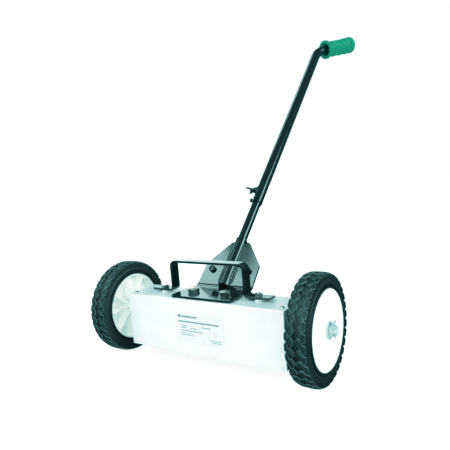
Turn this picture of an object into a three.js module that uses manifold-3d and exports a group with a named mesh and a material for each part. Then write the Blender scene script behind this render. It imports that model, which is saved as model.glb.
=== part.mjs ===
// Magnetic nail sweeper: a wheeled housing with a liftable magnet bar and a telescoping push handle.
// Millimetres. +X runs along the axle to the right wheel, +Y to the back, +Z up, the floor is z = 0.
import * as THREE from 'three';
import { mergeVertices } from 'three/addons/utils/BufferGeometryUtils.js';
import Module from 'manifold-3d';

const wasm = await Module();
wasm.setup();

// ---- driving dimensions -------------------------------------------------------------------------
const GAP = 0.3;                                  // clearance left between touching pieces

const HOUSING = { length: 328, depth: 75.5, bottom: 26.7, top: 124.7, sheet: 1.6, corner: 3 };
const END_PLATE = { inset: 1, thick: 3, flange: 15 };
const TRAY = { thick: 1.2, lip: 14 };

const WHEEL = { radius: 88.9, tread: 86.4, shoulder: 85, inner: 186.2, outer: 219.6, rim: 64, lugs: 34 };
const HUB = { start: 183, face: 221, lip: 221.3, boss: 15, bore: 6.3, ribs: 9, rib: 3 };
const SPINDLE = { radius: 6, end: 235, head: 7.6, across: 19 };
const WASHER = { radius: 14, thick: 2 };

const MAGNET = { count: 6, depth: 55.4, low: 28.2, high: 44.9, gap: 1 };
const CARRIER = { half: 148, depth: 63, thick: 3, web: 45.3, lip: 36 };
const LIFT = { x: 102, y: -1.5 };                 // the two lift studs
const BUSH = { flange: 6.6, height: 3.2, body: 5.4, bore: 4.8, low: 117 };

const BAIL = {
  half: 80, top: 187.1, y: 1.5, width: 20, thick: 4, radius: 10, under: 128.7, foot: 126,
};
const BRACKET = { front: -32, bend: 44.3, thick: 4, half: 65.3, waist: 60.5, mid: 59.3, top: 19.1 };
const UPRIGHT = { mid: 51, length: 103.9, boltX: 39.8, boltS: 37.4 };
const BASE_BOLT = { x: 34, y: -1.5, radius: 5.9, across: 18, head: 7.6, end: 108 };

const HANDLE_TILT = 46.2 * Math.PI / 180;         // from upright, leaning back
const TUBE_OFFSET = 0.3;                          // tube axis in front of the upright's face
const SOCKET = { outer: 11.2, inner: 9.5, low: 8.6, rim: 116 };
const LOWER_TUBE = { outer: 9.15, inner: 7.6, low: 9, high: 480 };
const UPPER_TUBE = { outer: 11.1, inner: 9.6, low: 210.5, corner: 747.8, bend: 64, end: 106 };
const GRIP_BEND = 41.5 * Math.PI / 180;           // bend of the tube into the grip
const GRIP_TURN = 47 * Math.PI / 180;             // upper tube turned about its own axis
const GRIP = { start: 25.1, length: 97, bore: 11.4, mouth: 16.6, collar: 23.9, neck: 20.2, swell: 21 };
const WING = { s: 249, shaft: 3, hubIn: 21, hubOut: 28.6, span: 10.6, tip: 36 };
const STOP = { s: 220, head: 18 };
const LABEL = { half: 51, low: 46.5, high: 101, thick: 0.35 };

// ---- materials ----------------------------------------------------------------------------------
const paint = (color, roughness, metalness) => () =>
  new THREE.MeshStandardMaterial({ color, roughness, metalness });
const whitePaint = paint(0xeaf2f3, 0.4, 0.1);
const blackPaint = paint(0x10191b, 0.25, 0.3);
const zinc = paint(0xb9c2c4, 0.35, 1.0);
const blackOxide = paint(0x14181a, 0.45, 0.6);
const stainless = paint(0xa8acae, 0.35, 1.0);
const ferrite = paint(0x3a3a3c, 0.7, 0.2);
const rubber = paint(0x23292b, 0.8, 0.0);
const whitePlastic = paint(0xf2f4f3, 0.45, 0.0);
const greenPlastic = paint(0x17996f, 0.5, 0.0);
const paper = paint(0xf6f8f8, 0.5, 0.0);

// ---- geometry helpers ---------------------------------------------------------------------------
const bare = (geo) => {
  const g = geo.index ? geo.toNonIndexed() : geo.clone();
  for (const name of Object.keys(g.attributes)) if (name !== 'position') g.deleteAttribute(name);
  return mergeVertices(g, 1e-4);
};
const solid = (geo) => {
  const g = bare(geo);
  return new wasm.Manifold(new wasm.Mesh({
    numProp: 3, vertProperties: new Float32Array(g.attributes.position.array),
    triVerts: new Uint32Array(g.index.array),
  }));
};
const geometry = (body) => {
  const m = body.getMesh();
  const g = new THREE.BufferGeometry();
  g.setAttribute('position', new THREE.BufferAttribute(new Float32Array(m.vertProperties), 3));
  g.setIndex(new THREE.BufferAttribute(new Uint32Array(m.triVerts), 1));
  return g;
};
const join = (...geos) => geometry(geos.map(solid).reduce((a, b) => a.add(b)));
const cut = (geo, ...tools) => geometry(tools.map(solid).reduce((a, b) => a.subtract(b), solid(geo)));

const box = (x0, x1, y0, y1, z0, z1) =>
  new THREE.BoxGeometry(x1 - x0, y1 - y0, z1 - z0).translate((x0 + x1) / 2, (y0 + y1) / 2, (z0 + z1) / 2);
const upright = (r, z0, z1, x = 0, y = 0, sides = 20) =>
  new THREE.CylinderGeometry(r, r, z1 - z0, sides).rotateX(Math.PI / 2).translate(x, y, (z0 + z1) / 2);
const along = (r, x0, x1, y = 0, z = 0, sides = 24) =>
  new THREE.CylinderGeometry(r, r, x1 - x0, sides).rotateZ(Math.PI / 2).translate((x0 + x1) / 2, y, z);
const hex = (across) => across / Math.sqrt(3);    // corner radius from the width across flats
const turned = (profile, sides = 32) =>           // closed (radius, height) outline about +Z
  new THREE.LatheGeometry([...profile, profile[0]].map(([r, z]) => new THREE.Vector2(r, z)), sides)
    .rotateX(Math.PI / 2);
const alongX = new THREE.Matrix4().makeBasis(     // lays an extruded (Y, Z) outline along +X
  new THREE.Vector3(0, 1, 0), new THREE.Vector3(0, 0, 1), new THREE.Vector3(1, 0, 0));
const outline = (points) => {
  const s = new THREE.Shape();
  points.forEach(([x, y], i) => (i ? s.lineTo(x, y) : s.moveTo(x, y)));
  s.closePath();
  return s;
};
const extruded = (points, depth) =>
  new THREE.ExtrudeGeometry(outline(points), { depth, bevelEnabled: false, curveSegments: 6 });

// Outline of a strip of constant thickness bent along a centreline with rounded corners.
const strip = (line, radius, thick, steps = 5) => {
  const pts = line.map(([x, y]) => new THREE.Vector2(x, y));
  const path = [pts[0]];
  for (let i = 1; i < pts.length - 1; i++) {
    const a = pts[i - 1].clone().sub(pts[i]).normalize();
    const b = pts[i + 1].clone().sub(pts[i]).normalize();
    const half = Math.acos(a.dot(b)) / 2;
    const r = Array.isArray(radius) ? radius[i - 1] : radius;
    const centre = pts[i].clone().addScaledVector(a.clone().add(b).normalize(), r / Math.sin(half));
    const from = pts[i].clone().addScaledVector(a, r / Math.tan(half)).sub(centre);
    const turn = Math.sign(b.cross(a)) * (Math.PI - 2 * half);
    for (let k = 0; k <= steps; k++) {
      const p = from.clone().rotateAround(new THREE.Vector2(), turn * k / steps);
      path.push(p.add(centre));
    }
  }
  path.push(pts[pts.length - 1]);
  const side = (sign) => path.map((p, i) => {
    const ahead = path[Math.min(i + 1, path.length - 1)].clone().sub(path[i]);
    const behind = path[i].clone().sub(path[Math.max(i - 1, 0)]);
    if (ahead.length() === 0) ahead.copy(behind);
    if (behind.length() === 0) behind.copy(ahead);
    const n1 = new THREE.Vector2(-ahead.y, ahead.x).normalize();
    const n2 = new THREE.Vector2(-behind.y, behind.x).normalize();
    const n = n1.add(n2).normalize();
    const stretch = 1 / Math.max(0.5, n.dot(new THREE.Vector2(-behind.y, behind.x).normalize()));
    return [p.x + sign * n.x * stretch * thick / 2, p.y + sign * n.y * stretch * thick / 2];
  });
  return [...side(1), ...side(-1).reverse()];
};

// A path whose steps fall on given points, for sweeping a tube section.
class StepPath extends THREE.Curve {
  constructor(points, tangents) { super(); this.points = points; this.tangents = tangents; }
  pick(list, u) {
    const n = list.length - 1, k = Math.min(n - 1, Math.floor(u * n + 1e-9));
    return list[k].clone().lerp(list[k + 1], u * n - k);
  }
  getPointAt(u) { return this.pick(this.points, u); }
  getTangentAt(u) { return this.pick(this.tangents, u).normalize(); }
}

// ---- the handle's own directions ----------------------------------------------------------------
const V = (x, y, z) => new THREE.Vector3(x, y, z);
const TUBE_DIR = V(0, Math.sin(HANDLE_TILT), Math.cos(HANDLE_TILT));
const PLATE_NORMAL = V(0, -Math.cos(HANDLE_TILT), Math.sin(HANDLE_TILT));
const PLATE_Z = HOUSING.top + GAP;                // underside of the bracket's base
const BEND_POINT = V(0, BRACKET.bend, PLATE_Z + BRACKET.thick);
const plateFrame = () => new THREE.Matrix4().makeBasis(V(1, 0, 0), TUBE_DIR, PLATE_NORMAL)
  .setPosition(BEND_POINT);                       // (across, up the plate, out of its front)
const ON_PLATE = (PLATE_Z + BRACKET.thick - HOUSING.top + TUBE_OFFSET * Math.sin(HANDLE_TILT))
  / Math.cos(HANDLE_TILT);                        // tube distance at the foot of the plate
const tubePoint = (s) => BEND_POINT.clone().addScaledVector(PLATE_NORMAL, TUBE_OFFSET)
  .addScaledVector(TUBE_DIR, s - ON_PLATE);
const onTube = (geo, s) => geo.applyMatrix4(new THREE.Matrix4()
  .makeBasis(V(1, 0, 0), PLATE_NORMAL.clone().negate(), TUBE_DIR).setPosition(tubePoint(s)));
const GRIP_DIR = TUBE_DIR.clone().multiplyScalar(Math.cos(GRIP_BEND))
  .addScaledVector(PLATE_NORMAL, -Math.sin(GRIP_BEND) * Math.cos(GRIP_TURN))
  .addScaledVector(V(1, 0, 0), Math.sin(GRIP_BEND) * Math.sin(GRIP_TURN));
const GRIP_SIDE = V(0, 0, 1).cross(GRIP_DIR).normalize();
const GRIP_UP = GRIP_DIR.clone().cross(GRIP_SIDE);
const onGrip = (geo, s) => geo.applyMatrix4(new THREE.Matrix4()
  .makeBasis(GRIP_SIDE, GRIP_UP, GRIP_DIR)
  .setPosition(tubePoint(UPPER_TUBE.corner).addScaledVector(GRIP_DIR, s)));

// ---- the object ---------------------------------------------------------------------------------
const object = new THREE.Group();
object.name = 'magnetic_nail_sweeper';
const add = (name, geo, material) => {
  const g = bare(geo).toNonIndexed();
  g.computeVertexNormals();
  const mesh = new THREE.Mesh(g, material());
  mesh.name = name;
  mesh.material.name = name;
  object.add(mesh);
};
const SIDES = [['left', -1], ['right', 1]];

const END_X = HOUSING.length / 2 - END_PLATE.inset;          // outer face of an end plate
const INNER_Y = HOUSING.depth / 2 - HOUSING.sheet - GAP;
const CEILING = HOUSING.top - HOUSING.sheet;                 // underside of the housing's top
const SCREWS = { x: 156, topY: -25, backZ: 75, hole: 2.6 };

function housingShell() {
  const { length, depth, bottom, top, sheet, corner } = HOUSING;
  const d = (depth - sheet) / 2;
  const u = strip([[-d, bottom], [-d, top - sheet / 2], [d, top - sheet / 2], [d, bottom]],
    corner, sheet, 4);
  const shell = extruded(u, length).applyMatrix4(alongX).translate(-length / 2, 0, 0);
  const holes = [];
  for (const [, side] of SIDES) {
    holes.push(upright(BUSH.body + GAP, top - 5, top + 5, side * LIFT.x, LIFT.y));
    holes.push(upright(BASE_BOLT.radius + GAP, top - 5, top + 5, side * BASE_BOLT.x, BASE_BOLT.y));
    holes.push(upright(SCREWS.hole, top - 5, top + 5, side * SCREWS.x, SCREWS.topY, 12));
    holes.push(upright(SCREWS.hole, -5, 5, 0, 0, 12).rotateX(Math.PI / 2)
      .translate(side * SCREWS.x, depth / 2, SCREWS.backZ));
  }
  add('housing_shell', cut(shell, ...holes), whitePaint);
}

function endPlates() {
  const { thick, flange } = END_PLATE;
  const high = CEILING - GAP, low = HOUSING.bottom, mid = SCREWS.backZ;
  const chamfer = HOUSING.corner;
  for (const [name, side] of SIDES) {
    const xs = (a, b) => (side > 0 ? [a, b] : [-b, -a]);
    const inner = END_X - thick;
    const face = extruded([[-INNER_Y, low], [INNER_Y, low], [INNER_Y, high - chamfer],
      [INNER_Y - chamfer, high], [chamfer - INNER_Y, high], [-INNER_Y, high - chamfer]], thick)
      .applyMatrix4(alongX).translate(xs(inner, END_X)[0], 0, 0);
    const plate = join(face,
      box(...xs(inner - flange, inner + 1), chamfer - INNER_Y, INNER_Y - chamfer,
        high - thick, high),
      box(...xs(inner - flange, inner + 1), INNER_Y - thick, INNER_Y, mid - 25, mid + 25));
    const holes = [
      along(SPINDLE.radius + GAP, ...xs(inner - 2, END_X + 2), 0, WHEEL.radius),
      upright(SCREWS.hole - 0.2, high - thick - 1, high + 1, side * SCREWS.x, SCREWS.topY, 12),
      upright(SCREWS.hole - 0.2, -thick, thick, 0, 0, 12).rotateX(Math.PI / 2)
        .translate(side * SCREWS.x, INNER_Y - thick / 2, mid)];
    add(`end_plate_${name}`, cut(plate, ...holes), blackPaint);
  }
}

function bottomTray() {
  const { thick, lip } = TRAY, x = END_X - END_PLATE.thick - GAP, z = HOUSING.bottom;
  const y = INNER_Y - thick / 2;
  const u = strip([[-y, z + lip], [-y, z + thick / 2], [y, z + thick / 2], [y, z + lip]], 2, thick, 3);
  add('bottom_tray', extruded(u, 2 * x).applyMatrix4(alongX).translate(-x, 0, 0), stainless);
}

function magnetBar() {
  const { half, depth, thick, web, lip } = CARRIER, y = (depth - thick) / 2;
  const u = strip([[-y, lip], [-y, web + thick / 2], [y, web + thick / 2], [y, lip]], 3, thick, 3);
  add('magnet_carrier', extruded(u, 2 * half).applyMatrix4(alongX).translate(-half, 0, 0), blackPaint);
  const pitch = 2 * (half - 1) / MAGNET.count, w = MAGNET.depth / 2;
  for (let i = 0; i < MAGNET.count; i++) {
    const x0 = -(half - 1) + i * pitch + MAGNET.gap / 2;
    add(`magnet_${i + 1}`, box(x0, x0 + pitch - MAGNET.gap, -w, w, MAGNET.low, MAGNET.high), ferrite);
  }
}

function liftGear() {
  const base = CARRIER.web + CARRIER.thick + GAP, under = BAIL.under, top = under + BAIL.thick;
  for (const [name, side] of SIDES) {
    const place = (g) => g.translate(side * LIFT.x, LIFT.y, 0);
    add(`lift_stud_${name}`, place(turned([[0, base], [9, base], [9, base + 5], [4.4, base + 6],
      [4.4, under - GAP], [3.8, under - GAP], [3.8, top + 4.6], [3, top + 5.4], [0, top + 5.4]],
    14)), zinc);
    const b = BUSH, low = HOUSING.top + GAP;
    add(`guide_bush_${name}`, place(turned([[b.bore, b.low], [b.body, b.low], [b.body, low],
      [b.flange, low], [b.flange, low + b.height - 0.6], [b.flange - 0.6, low + b.height],
      [b.bore, low + b.height]], 16)), whitePlastic);
    add(`foot_nut_${name}`, place(cut(
      upright(hex(13), top + GAP, top + GAP + 4.6, 0, 0, 6),
      upright(4.1, top - 1, top + 10, 0, 0, 16))), zinc);
  }
}

function bail() {
  const { half, top, width, thick, radius, under, foot } = BAIL;
  const z = under + thick / 2, x = half - thick / 2, up = top - thick / 2;
  const line = [[-foot, z], [-x, z], [-x, up], [x, up], [x, z], [foot, z]];
  const bar = extruded(strip(line, [6, radius, radius, 6], thick), width)
    .rotateX(Math.PI / 2).translate(0, BAIL.y + width / 2, 0);
  const holes = SIDES.map(([, s]) => upright(4.1, under - 2, under + 8, s * LIFT.x, LIFT.y, 16));
  add('bail', cut(bar, ...holes), blackPaint);
}

function bracket() {
  const { front, bend, thick, half, waist, mid, top } = BRACKET;
  const low = PLATE_Z + thick / 2;
  const start = BEND_POINT.clone().addScaledVector(PLATE_NORMAL, -thick / 2);
  const corner = start.y - (start.z - low) * Math.tan(HANDLE_TILT);
  const tip = start.clone().addScaledVector(TUBE_DIR, UPRIGHT.length);
  const plate = extruded(strip([[front, low], [corner, low], [tip.y, tip.z]], 6, thick), 2 * half)
    .applyMatrix4(alongX).translate(-half, 0, 0);
  const tools = [onTube(upright(SOCKET.outer + GAP, 0, 200, 0, 0, 28), SOCKET.low - GAP)];
  for (const side of [-1, 1]) {
    const m = (list) => list.map(([x, y]) => [side * x, y]);
    tools.push(extruded(m([[waist, 2], [mid, UPRIGHT.mid], [top, UPRIGHT.length],
      [top, 140], [90, 140], [90, 2]]), 30).translate(0, 0, -15).applyMatrix4(plateFrame()));
    tools.push(extruded(m([[half, front], [waist, bend], [waist, bend + 12], [90, bend + 12],
      [90, front]]), 12).translate(0, 0, PLATE_Z - 4));
    tools.push(upright(BASE_BOLT.radius + GAP, PLATE_Z - 2, PLATE_Z + 8,
      side * BASE_BOLT.x, BASE_BOLT.y));
    tools.push(upright(4.3, -12, 12, side * UPRIGHT.boltX, UPRIGHT.boltS, 16)
      .applyMatrix4(plateFrame()));
  }
  add('handle_bracket', cut(plate, ...tools), blackPaint);
}

function bolt(radius, across, head, length, sides = 18) {    // head on z >= 0, shank below
  return join(new THREE.CylinderGeometry(hex(across) * 0.96, hex(across), head, 6)
    .rotateX(Math.PI / 2).translate(0, 0, head / 2),
  upright(radius, -length, 0.5, 0, 0, sides));
}
const nut = (across, height, bore) => cut(upright(hex(across), 0, height, 0, 0, 6),
  upright(bore, -1, height + 1, 0, 0, 18));

function bracketFasteners() {
  const seat = PLATE_Z + BRACKET.thick + GAP;
  for (const [name, side] of SIDES) {
    const { x, y, radius, across, head, end } = BASE_BOLT;
    add(`base_bolt_${name}`, bolt(radius, across, head, seat - end).rotateZ(0.2 * side)
      .translate(side * x, y, seat), zinc);
    add(`base_nut_${name}`, nut(across, 10, radius + GAP)
      .translate(side * x, y, CEILING - GAP - 10), zinc);
    add(`upright_bolt_${name}`, bolt(4, 12, 5, 16).rotateZ(0.5 * side)
      .translate(side * UPRIGHT.boltX, UPRIGHT.boltS, GAP).applyMatrix4(plateFrame()), blackOxide);
    add(`upright_nut_${name}`, nut(12, 6.5, 4.3)
      .translate(side * UPRIGHT.boltX, UPRIGHT.boltS, -BRACKET.thick - GAP - 6.5)
      .applyMatrix4(plateFrame()), blackOxide);
  }
}

function lowerHandle() {
  const pipe = (outer, inner, length) => turned(
    [[inner, 0], [outer, 0], [outer, length], [inner, length]], 22);
  add('handle_socket', onTube(pipe(SOCKET.outer, SOCKET.inner, SOCKET.rim - SOCKET.low),
    SOCKET.low), blackPaint);
  add('lower_tube', onTube(pipe(LOWER_TUBE.outer, LOWER_TUBE.inner,
    LOWER_TUBE.high - LOWER_TUBE.low), LOWER_TUBE.low), blackPaint);
}

function upperHandle() {
  const { outer, inner, low, corner, bend, end } = UPPER_TUBE;
  const set = bend * Math.tan(GRIP_BEND / 2), steps = 8;
  const points = [tubePoint(low), tubePoint(corner - set - 2)];
  const tangents = [TUBE_DIR.clone(), TUBE_DIR.clone()];
  const inward = GRIP_DIR.clone().addScaledVector(TUBE_DIR, -GRIP_DIR.dot(TUBE_DIR)).normalize();
  const centre = tubePoint(corner - set).addScaledVector(inward, bend);
  for (let k = 0; k <= steps; k++) {
    const a = GRIP_BEND * k / steps;
    points.push(centre.clone().addScaledVector(inward, -bend * Math.cos(a))
      .addScaledVector(TUBE_DIR, bend * Math.sin(a)));
    tangents.push(TUBE_DIR.clone().multiplyScalar(Math.cos(a)).addScaledVector(inward, Math.sin(a)));
  }
  points.push(tubePoint(corner).addScaledVector(GRIP_DIR, end));
  tangents.push(GRIP_DIR.clone());
  const ring = new THREE.Shape().absarc(0, 0, outer, 0, 2 * Math.PI);
  ring.holes.push(new THREE.Path().absarc(0, 0, inner, 0, 2 * Math.PI, true));
  const tube = new THREE.ExtrudeGeometry(ring, { curveSegments: 10, bevelEnabled: false,
    steps: points.length - 1, extrudePath: new StepPath(points, tangents) });
  const hole = (s, r) => onTube(along(r, -15, -5, 0, 0, 14), s);
  add('upper_tube', cut(tube, hole(WING.s, WING.shaft + 0.5), hole(STOP.s, 3)), blackPaint);

  const saddle = onTube(along(outer + GAP, -10, 10).rotateY(Math.PI / 2), WING.s);
  add('clamp_boss', cut(onTube(along(6.5, -WING.hubIn + 1.2, -9.9, 0, 0, 20), WING.s), saddle,
    onTube(along(WING.shaft + 0.4, -25, -5, 0, 0, 16), WING.s)), blackPaint);
  const screwHead = onTube(join(along(4.4, -STOP.head, -STOP.head + 3.6, 0, 0, 18),
    along(2.6, -STOP.head + 3, -9.8, 0, 0, 12)), STOP.s);
  add('stop_screw', screwHead, blackOxide);
}

function wingBolt() {
  const { s, shaft, hubIn, hubOut, span, tip } = WING;
  const wing = (sign) => extruded([[0, -hubIn - 2.5], [sign * 4.5, -hubIn - 1.5],
    [sign * (span - 1.2), -tip + 5.5], [sign * span, -tip + 1.6], [sign * (span - 1.4), -tip],
    [sign * (span - 3.6), -tip + 1], [sign * 4.2, -hubOut + 0.6], [0, -hubOut + 0.6]], 3)
    .translate(0, 0, -1.5);                       // drawn with its outward side on -Y
  const wings = join(wing(1), wing(-1)).applyMatrix4(new THREE.Matrix4()
    .makeBasis(V(0, 1, 0), V(1, 0, 0), V(0, 0, -1)));
  add('wing_bolt', onTube(join(along(shaft, -hubIn - 1, -9.8, 0, 0, 16),
    along(5, -hubOut, -hubIn, 0, 0, 18), wings), s), blackOxide);
}

function grip() {
  const { length, bore, mouth, collar, neck, swell } = GRIP;
  const depthOfBore = UPPER_TUBE.end - GRIP.start + 0.6;
  const rows = 13, profile = [[bore, 8], [mouth - 2.5, 2.5], [mouth, 0], [collar - 1.5, 0],
    [collar, 1.5], [collar, 4.5]];
  for (let i = 0; i <= rows; i++) {
    const u = i / rows, z = 7 + u * (length - 15);
    profile.push([neck + (swell - neck) * Math.sin(Math.PI / 2 * u) ** 2, z]);
  }
  profile.push([swell - 1.2, length - 4], [swell - 4.5, length - 1.2], [swell - 9, length],
    [0, length], [0, depthOfBore], [bore, depthOfBore]);
  const body = turned(profile, 24);
  const p = body.attributes.position;
  for (let i = 0; i < p.count; i++) {             // finger ridges along the underside
    const r = Math.hypot(p.getX(i), p.getY(i)), z = p.getZ(i);
    if (r < bore + 1 || z < 6 || z > length - 7) continue;
    const down = Math.max(0, -p.getY(i) / r);
    const u = (z - 7) / (length - 15);
    const k = (r - 1.4 * Math.sin(Math.PI * u) * (1 - down) + down * 0.9 * Math.cos(8 * Math.PI * u)) / r;
    p.setXY(i, p.getX(i) * k, p.getY(i) * k);
  }
  const slot = along(2.6, -40, 40, 9, 0, 12).translate(0, 0, length - 9);
  add('grip', onGrip(cut(body, slot), GRIP.start), greenPlastic);
}

const toSide = (geo, side) => (side > 0 ? geo : geo.rotateZ(Math.PI));
const aboutAxle = (geo, side) =>                  // +Z of a turned piece becomes outward
  toSide(geo.rotateY(Math.PI / 2).translate(0, 0, WHEEL.radius), side);

function hub(side) {
  const { start, face, lip, boss, bore, ribs, rib } = HUB, rim = WHEEL.rim;
  const body = aboutAxle(turned([[bore, start], [boss, start], [boss + 1, 214], [40, 213],
    [61, 214.5], [61.6, 187.2], [rim - 1, 186.6], [rim, 188], [rim, lip - 1.4], [rim - 0.9, lip],
    [60, 220], [40, 217.8], [20, 218.6], [16, face], [bore, face]], 44), 1);
  const spokes = [];
  for (let i = 0; i < ribs; i++) {
    spokes.push(box(197, 215, -rib / 2, rib / 2, boss - 1, rim - 2)
      .rotateX(2 * Math.PI * i / ribs).translate(0, 0, WHEEL.radius));
  }
  return toSide(join(body, ...spokes), side);
}

function tyre(side) {
  const { radius, tread, shoulder, inner, outer, rim, lugs } = WHEEL;
  const w = outer - inner, mid = (inner + outer) / 2;
  const rows = [-0.45, -0.06, 0.06, 0.45];
  const profile = [[rim + GAP, inner + 2.5], [68, inner], [shoulder, inner],
    ...rows.map((k) => [tread, mid + k * w]),
    [shoulder, outer], [68.5, outer], [67, outer - 1.5], [rim + GAP, outer - 2.5]];
  const body = turned(profile, 2 * lugs);
  const p = body.attributes.position;
  for (let i = 0; i < p.count; i++) {             // staggered lugs, one facing the floor
    if (Math.abs(Math.hypot(p.getX(i), p.getY(i)) - tread) > 0.01) continue;
    const turn = Math.round(Math.atan2(p.getY(i), p.getX(i)) / (Math.PI / lugs) + 2 * lugs);
    const row = p.getZ(i) < mid ? 0 : 1;
    if ((turn + row) % 2) continue;
    p.setXY(i, p.getX(i) * radius / tread, p.getY(i) * radius / tread);
  }
  return aboutAxle(body, side);
}

function wheels() {
  for (const [name, side] of SIDES) {
    add(`hub_${name}`, hub(side), whitePlastic);
    add(`tyre_${name}`, tyre(side), rubber);
  }
}

function axleGear() {
  const { radius, end, head, across } = SPINDLE, z = WHEEL.radius;
  const seat = END_X - END_PLATE.thick - GAP, nutEnd = END_X + GAP + 8;
  const castle = HUB.face + 2 * GAP + WASHER.thick + GAP, pin = castle + 6.6;
  for (const [name, side] of SIDES) {
    const out = (geo) => toSide(geo.rotateY(Math.PI / 2).translate(0, 0, z), side);
    const pinHole = upright(1.7, z - 12, z + 12, pin, 0, 8);
    const shaft = join(upright(hex(across), seat - head, seat, 0, 0, 6),
      upright(radius, seat - 1, end - 1, 0, 0, 18),
      new THREE.CylinderGeometry(radius - 1, radius, 1, 18).rotateX(Math.PI / 2)
        .translate(0, 0, end - 0.5)).rotateY(Math.PI / 2).translate(0, 0, z);
    add(`spindle_${name}`, toSide(cut(shaft, pinHole), side), zinc);
    add(`spindle_nut_${name}`, out(nut(across, 8, radius + GAP).translate(0, 0, END_X + GAP)), zinc);
    add(`spacer_${name}`, out(turned([[radius + GAP, nutEnd + GAP], [9, nutEnd + GAP],
      [9, HUB.start - GAP], [radius + GAP, HUB.start - GAP]], 18)), zinc);
    add(`washer_${name}`, out(turned([[radius + GAP, castle - GAP - WASHER.thick],
      [WASHER.radius, castle - GAP - WASHER.thick], [WASHER.radius, castle - GAP - 0.4],
      [WASHER.radius - 0.4, castle - GAP], [radius + GAP, castle - GAP]], 24)), zinc);
    const slots = [0, 1, 2].map((i) => box(castle + 4.6, castle + 11, -15, 15, -1.9, 1.9)
      .rotateX(Math.PI / 2 + i * Math.PI / 3).translate(0, 0, z));
    add(`castle_nut_${name}`, toSide(cut(nut(17, 9.4, radius + GAP).translate(0, 0, castle)
      .rotateY(Math.PI / 2).rotateX(Math.PI / 6).translate(0, 0, z), ...slots), side), zinc);
    add(`cotter_pin_${name}`, toSide(join(
      upright(1.3, z - 11.5, z + 11, pin, 0, 8),
      new THREE.TorusGeometry(2.6, 1.1, 6, 12).rotateY(Math.PI / 2).translate(pin, 0, z + 13)),
    side), zinc);
  }
}

function screws() {
  const screw = () => join(turned([[0, 0], [4.3, 0], [4.3, 1.2], [3, 2.4], [0, 2.6]], 20),
    upright(2.1, -6.5, 0.5, 0, 0, 12));
  for (const [name, side] of SIDES) {
    add(`top_screw_${name}`, screw().translate(side * SCREWS.x, SCREWS.topY, HOUSING.top + GAP),
      zinc);
    add(`back_screw_${name}`, screw().rotateX(-Math.PI / 2)
      .translate(side * SCREWS.x, HOUSING.depth / 2 + GAP, SCREWS.backZ), zinc);
  }
}

function label() {
  const { half, low, high, thick } = LABEL, r = 3;
  const c = (x, z, a) => [0, 1, 2, 3].map((k) => [x + r * Math.cos(a + k * Math.PI / 6),
    z + r * Math.sin(a + k * Math.PI / 6)]);
  const edge = [...c(half - r, low + r, -Math.PI / 2), ...c(half - r, high - r, 0),
    ...c(-half + r, high - r, Math.PI / 2), ...c(-half + r, low + r, Math.PI)];
  add('label_plate', extruded(edge, thick).rotateX(Math.PI / 2)
    .translate(0, -HOUSING.depth / 2 - 0.05, 0), paper);
}

housingShell();
endPlates();
bottomTray();
magnetBar();
liftGear();
bail();
bracket();
bracketFasteners();
lowerHandle();
upperHandle();
wingBolt();
grip();
wheels();
axleGear();
screws();
label();

export default object;
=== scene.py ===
"""Magnetic nail sweeper: the looks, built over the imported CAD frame. Lengths are in millimetres until the
mesh is made, +X to the right wheel, +Y back, +Z up, floor at z = 0."""
import math

import bmesh
import bpy
from mathutils import Matrix, Vector


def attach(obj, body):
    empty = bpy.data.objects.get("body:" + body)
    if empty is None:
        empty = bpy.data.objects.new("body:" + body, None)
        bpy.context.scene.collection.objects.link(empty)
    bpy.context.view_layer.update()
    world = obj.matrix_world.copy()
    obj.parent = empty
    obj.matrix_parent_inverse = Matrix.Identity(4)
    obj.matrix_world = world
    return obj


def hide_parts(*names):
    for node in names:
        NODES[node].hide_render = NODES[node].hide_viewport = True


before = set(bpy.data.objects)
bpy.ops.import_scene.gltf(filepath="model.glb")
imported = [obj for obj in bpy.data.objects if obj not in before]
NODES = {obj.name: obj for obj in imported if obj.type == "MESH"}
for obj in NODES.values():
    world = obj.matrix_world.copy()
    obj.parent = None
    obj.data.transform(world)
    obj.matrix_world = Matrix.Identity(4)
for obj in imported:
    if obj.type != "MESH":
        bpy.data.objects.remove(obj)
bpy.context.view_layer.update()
MM = 0.001
CLEAR = 0.3                                       # gap between neighbouring solids
SIDES = (("left", -1), ("right", 1))

# ---- sizes shared with the CAD --------------------------------------------------------------------
TOP, BOTTOM = 124.7, 26.7                         # housing
HOUSING_L, HOUSING_D, SHEET = 328.0, 75.5, 1.6
PLATE_INSET = 1.0                                 # end plates stand this far inside the housing's ends
WHEEL_R, TYRE_MID, TYRE_HALF, RIM_R = 88.9, 202.9, 16.7, 64.0
HUB_START, HUB_FACE, HUB_LIP = 183.0, 221.0, 221.3
LIFT_X, LIFT_Y = 102.0, -1.5
BAIL_UNDER, BAIL_T, BAIL_TOP, BAIL_HALF, BAIL_Y, BAIL_W = 128.7, 4.0, 187.1, 80.0, 1.5, 20.0
BAIL_FOOT = 126.0
TILT = math.radians(46.2)
TUBE_DIR = Vector((0, math.sin(TILT), math.cos(TILT)))
PLATE_N = Vector((0, -math.cos(TILT), math.sin(TILT)))
PLATE_Z, PLATE_T = TOP + CLEAR, 4.0
BEND = Vector((0, 44.3, PLATE_Z + PLATE_T))
TUBE_OFF = 0.3
FOOT_S = (PLATE_Z + PLATE_T - TOP + TUBE_OFF * math.sin(TILT)) / math.cos(TILT)
SOCKET_R, SOCKET_LOW, SOCKET_RIM = 11.2, 8.6, 116.0
LOWER_R, LOWER_LOW, LOWER_HIGH = 9.15, 9.0, 480.0
UPPER_R, UPPER_IN, UPPER_LOW, UPPER_END = 11.1, 9.6, 210.5, 106.0
CORNER_S, BEND_R = 747.8, 64.0
GRIP_BEND, GRIP_TURN = math.radians(41.5), math.radians(47.0)
GRIP_START, GRIP_LEN = 25.1, 97.0
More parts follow.
